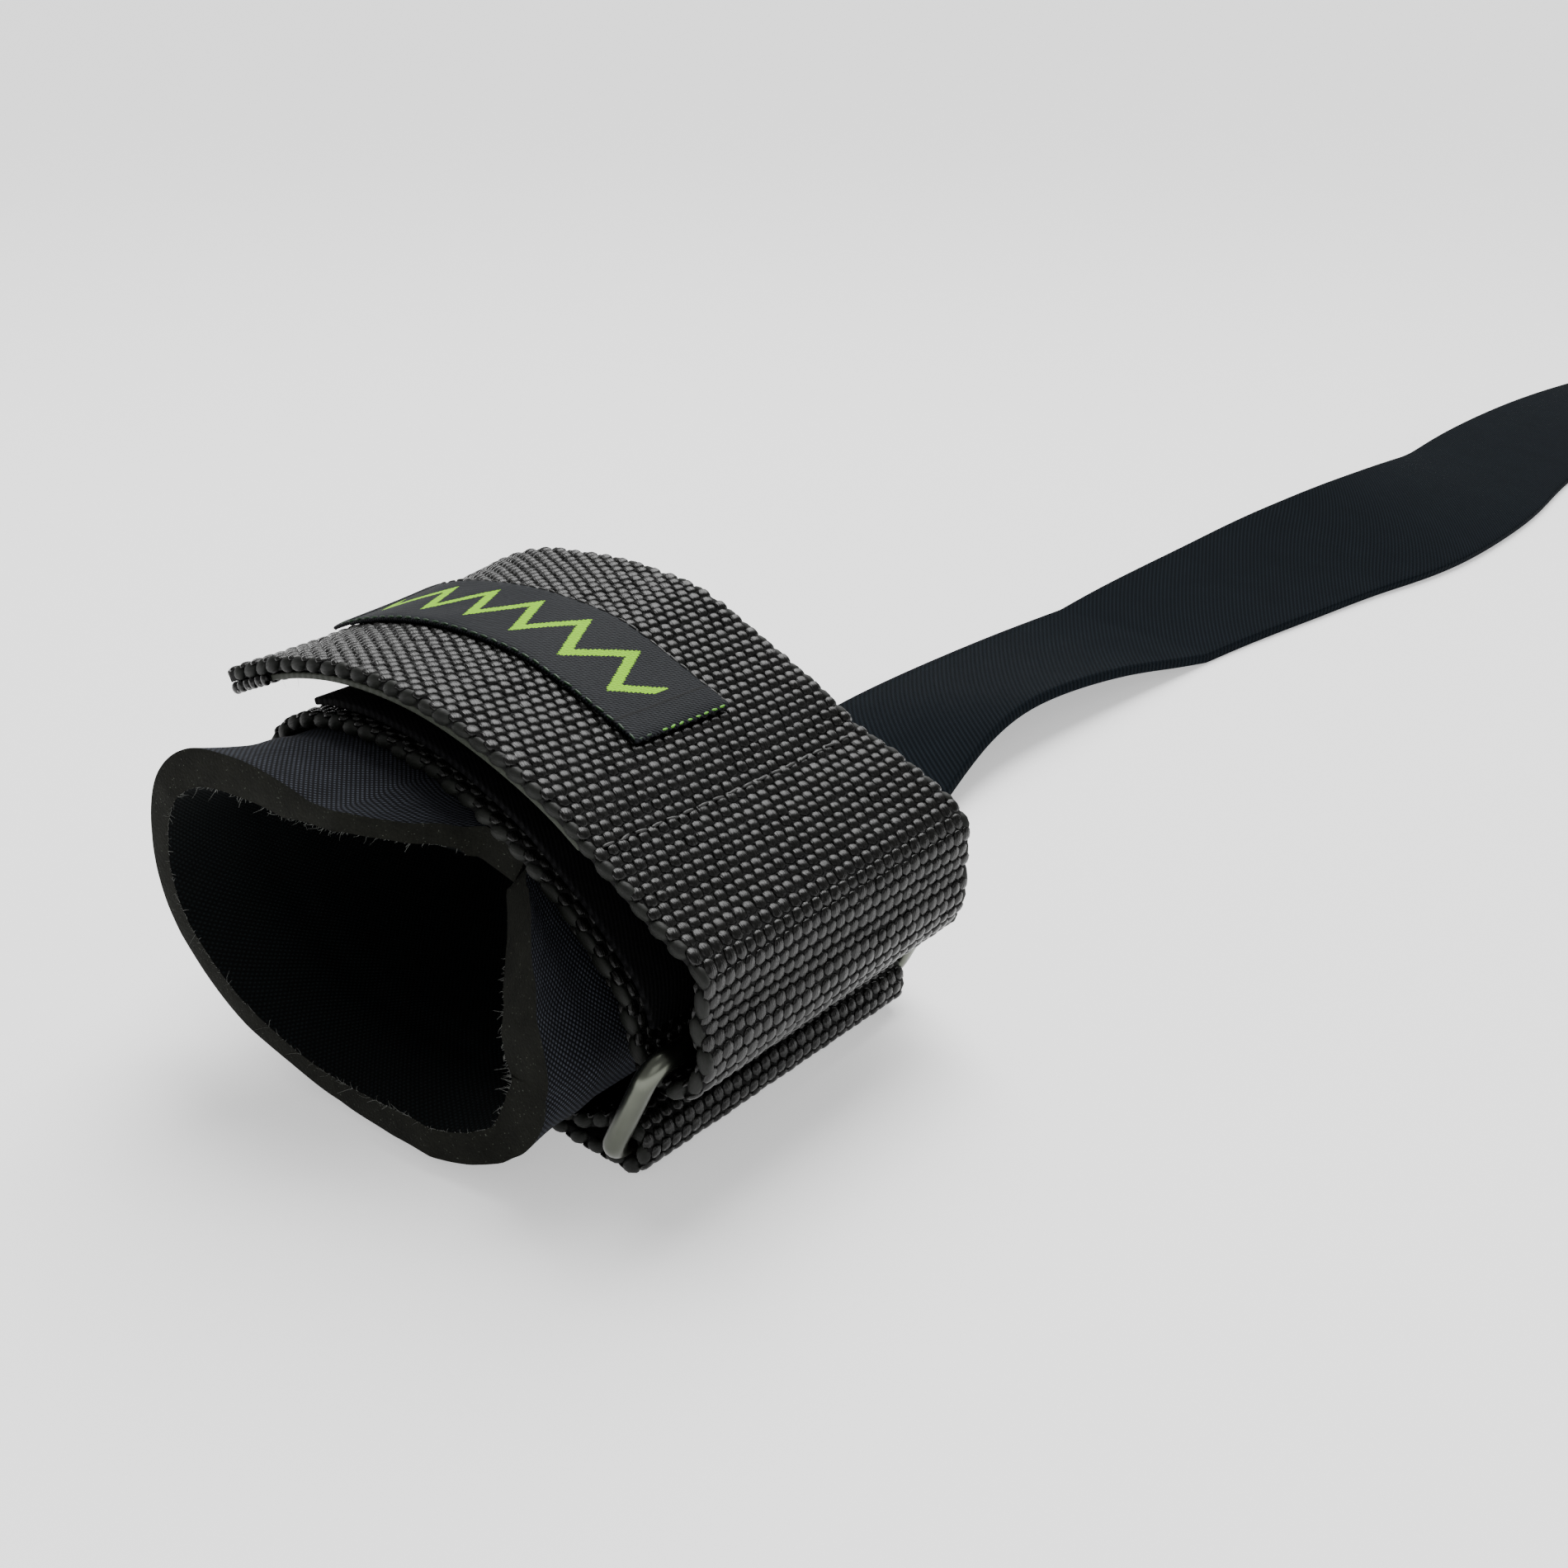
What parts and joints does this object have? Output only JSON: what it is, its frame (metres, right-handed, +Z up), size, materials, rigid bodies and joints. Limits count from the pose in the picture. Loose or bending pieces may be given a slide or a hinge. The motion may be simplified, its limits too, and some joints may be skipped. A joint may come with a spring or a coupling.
{
  "type": "weightlifting strap with padded wrist cuff",
  "caption": "Padded wrist cuff closed by webbing through a steel ring with hook and loop, with a long flat lifting strap sewn under it.",
  "frame": {"origin": "on the surface the strap lies on, under the middle of the closure webbing's width and near the middle of the cuff", "axes": "+X across the wrist opening towards the ring, +Y along the wrist from the front face towards the lifting strap's free end, +Z up"},
  "size_m": [0.0877, 0.5419, 0.0532],
  "materials": {
    "charcoal_knit": "fine jersey knit over foam",
    "black_webbing": "coarse woven webbing",
    "loop_pile": "soft loop pile",
    "hook_tape": "matt hooks",
    "label_twill": "fine woven twill",
    "satin_steel": "satin",
    "navy_twill": "tight twill weave"
  },
  "bodies": {
    "root": {"neoprene_cuff": "charcoal_knit", "closure_strap": "black_webbing", "loop_panel": "loop_pile", "hook_panel": "hook_tape", "woven_label": "label_twill", "steel_ring": "satin_steel", "lifting_strap": "navy_twill"}
  },
  "joints": []
}
